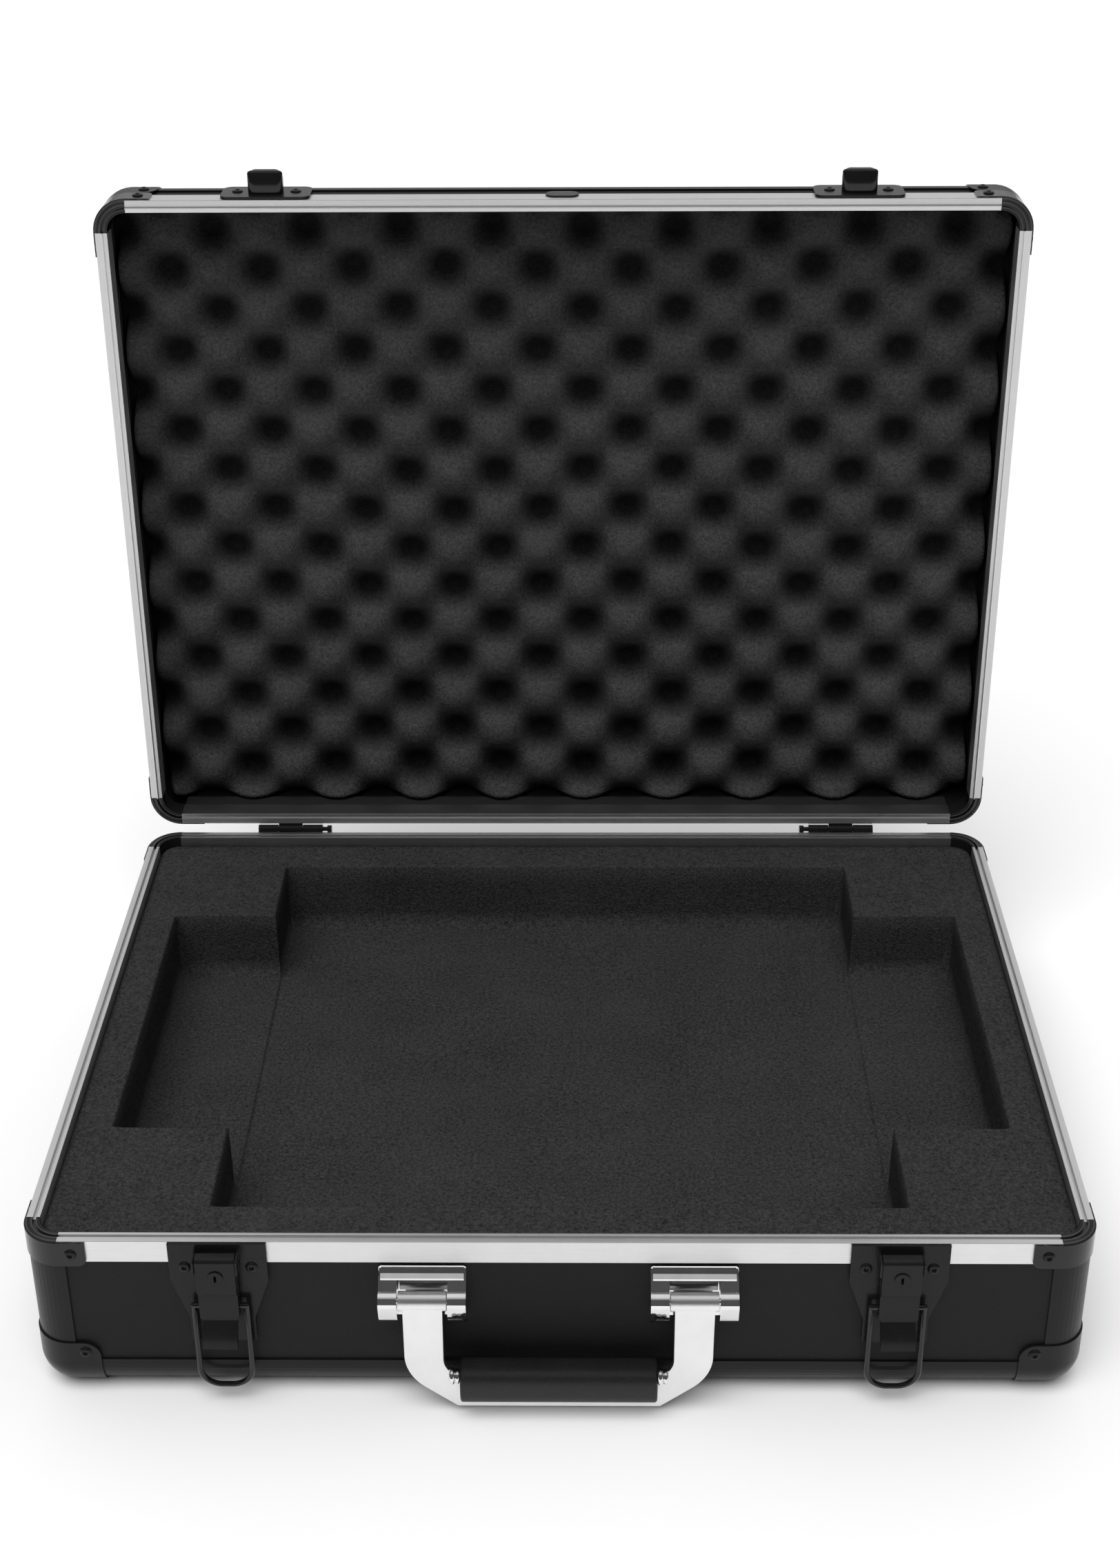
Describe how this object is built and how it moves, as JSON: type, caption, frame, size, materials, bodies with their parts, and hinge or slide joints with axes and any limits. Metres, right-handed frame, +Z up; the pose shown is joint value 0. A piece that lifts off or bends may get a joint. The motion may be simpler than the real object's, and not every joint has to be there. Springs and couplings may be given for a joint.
{
  "type": "attache case",
  "caption": "Black panelled attache case with silver aluminium rims, ball corners, wire-loop latches, a folding handle, a cut foam insert and a hinged lid lined with egg-crate foam.",
  "frame": {"origin": "middle of the base in plan, at the level of the surface that its corners stand on", "axes": "+X to the right seen from the latch side, +Y from the latches to the hinges, +Z up"},
  "size_m": [0.4938, 0.4421, 0.4784],
  "materials": {
    "panel": "fine leather-grain laminate, satin black",
    "rail": "drawn and silver anodised",
    "corner_black": "black, slightly glossy",
    "edge_black": "black anodised, satin",
    "foam": "open-cell foam, charcoal",
    "hardware_black": "black lacquer on pressed steel",
    "wire_black": "black nickel on spring wire",
    "plug_black": "black lacquer",
    "rivet_black": "black lacquer",
    "chrome_plate": "bright chrome",
    "handle_aluminium": "satin",
    "grip_black": "fine grained",
    "badge_grey": "plain, satin"
  },
  "bodies": {
    "base": {"base_bottom_panel": "panel", "base_front_panel": "panel", "base_back_panel": "panel", "base_left_panel": "panel", "base_right_panel": "panel", "base_front_rail": "rail", "base_back_rail": "rail", "base_left_rail": "rail", "base_right_rail": "rail", "base_rim_corner_front_left": "corner_black", "base_rim_corner_front_right": "corner_black", "base_rim_corner_back_left": "corner_black", "base_rim_corner_back_right": "corner_black", "base_ball_corner_front_left": "corner_black", "base_ball_corner_front_right": "corner_black", "base_ball_corner_back_left": "corner_black", "base_ball_corner_back_right": "corner_black", "base_edge_strips": "edge_black", "corner_posts": "edge_black", "base_foam": "foam", "base_rivets": "rivet_black", "hinge_pins": "hardware_black", "latch_pins": "hardware_black", "handle_pins": "chrome_plate", "base_hinge_leaf_left": "hardware_black", "base_hinge_leaf_right": "hardware_black", "latch_plate_left": "hardware_black", "latch_plate_right": "hardware_black", "handle_bracket_left": "chrome_plate", "handle_bracket_right": "chrome_plate"},
    "lid": {"lid_top_panel": "panel", "lid_front_panel": "panel", "lid_back_panel": "panel", "lid_left_panel": "panel", "lid_right_panel": "panel", "lid_front_rail": "rail", "lid_back_rail": "rail", "lid_left_rail": "rail", "lid_right_rail": "rail", "lid_rim_corners": "corner_black", "lid_ball_corners": "corner_black", "lid_edge_strips": "edge_black", "lid_foam": "foam", "lid_rivets": "rivet_black", "lid_badge": "badge_grey", "lid_hinge_leaf_left": "hardware_black", "lid_hinge_leaf_right": "hardware_black", "strike_left": "hardware_black", "strike_right": "hardware_black"},
    "handle": {"handle_frame": "handle_aluminium", "handle_grip": "grip_black", "grip_ferrules": "chrome_plate"},
    "lever_left": {"latch_lever_left": "hardware_black"},
    "bail_left": {"latch_bail_left": "wire_black"},
    "plug_left": {"lock_plug_left": "plug_black"},
    "lever_right": {"latch_lever_right": "hardware_black"},
    "bail_right": {"latch_bail_right": "wire_black"},
    "plug_right": {"lock_plug_right": "plug_black"}
  },
  "joints": [
    {"name": "lid_hinge", "type": "hinge", "parent": "base", "child": "lid", "pos_m": [0, 0.1886, 0.09165], "axis": [1, 0, 0], "range_deg": [0, 91]},
    {"name": "handle_swing", "type": "hinge", "parent": "base", "child": "handle", "pos_m": [0, -0.193, 0.0639], "axis": [-1, 0, 0], "range_deg": [0, 95]},
    {"name": "lever_left_lift", "type": "hinge", "parent": "base", "child": "lever_left", "pos_m": [-0.155, -0.193, 0.0855], "axis": [-1, 0, 0], "range_deg": [0, 45]},
    {"name": "bail_left_swing", "type": "hinge", "parent": "lever_left", "child": "bail_left", "pos_m": [-0.155, -0.19, 0.0584], "axis": [-1, 0, 0], "range_deg": [0, 160]},
    {"name": "plug_left_turn", "type": "hinge", "parent": "lever_left", "child": "plug_left", "pos_m": [-0.155, -0.194, 0.0792], "axis": [0, -1, 0], "range_deg": [0, 90]},
    {"name": "lever_right_lift", "type": "hinge", "parent": "base", "child": "lever_right", "pos_m": [0.155, -0.193, 0.0855], "axis": [-1, 0, 0], "range_deg": [0, 45]},
    {"name": "bail_right_swing", "type": "hinge", "parent": "lever_right", "child": "bail_right", "pos_m": [0.155, -0.19, 0.0584], "axis": [-1, 0, 0], "range_deg": [0, 160]},
    {"name": "plug_right_turn", "type": "hinge", "parent": "lever_right", "child": "plug_right", "pos_m": [0.155, -0.194, 0.0792], "axis": [0, -1, 0], "range_deg": [0, 90]}
  ]
}
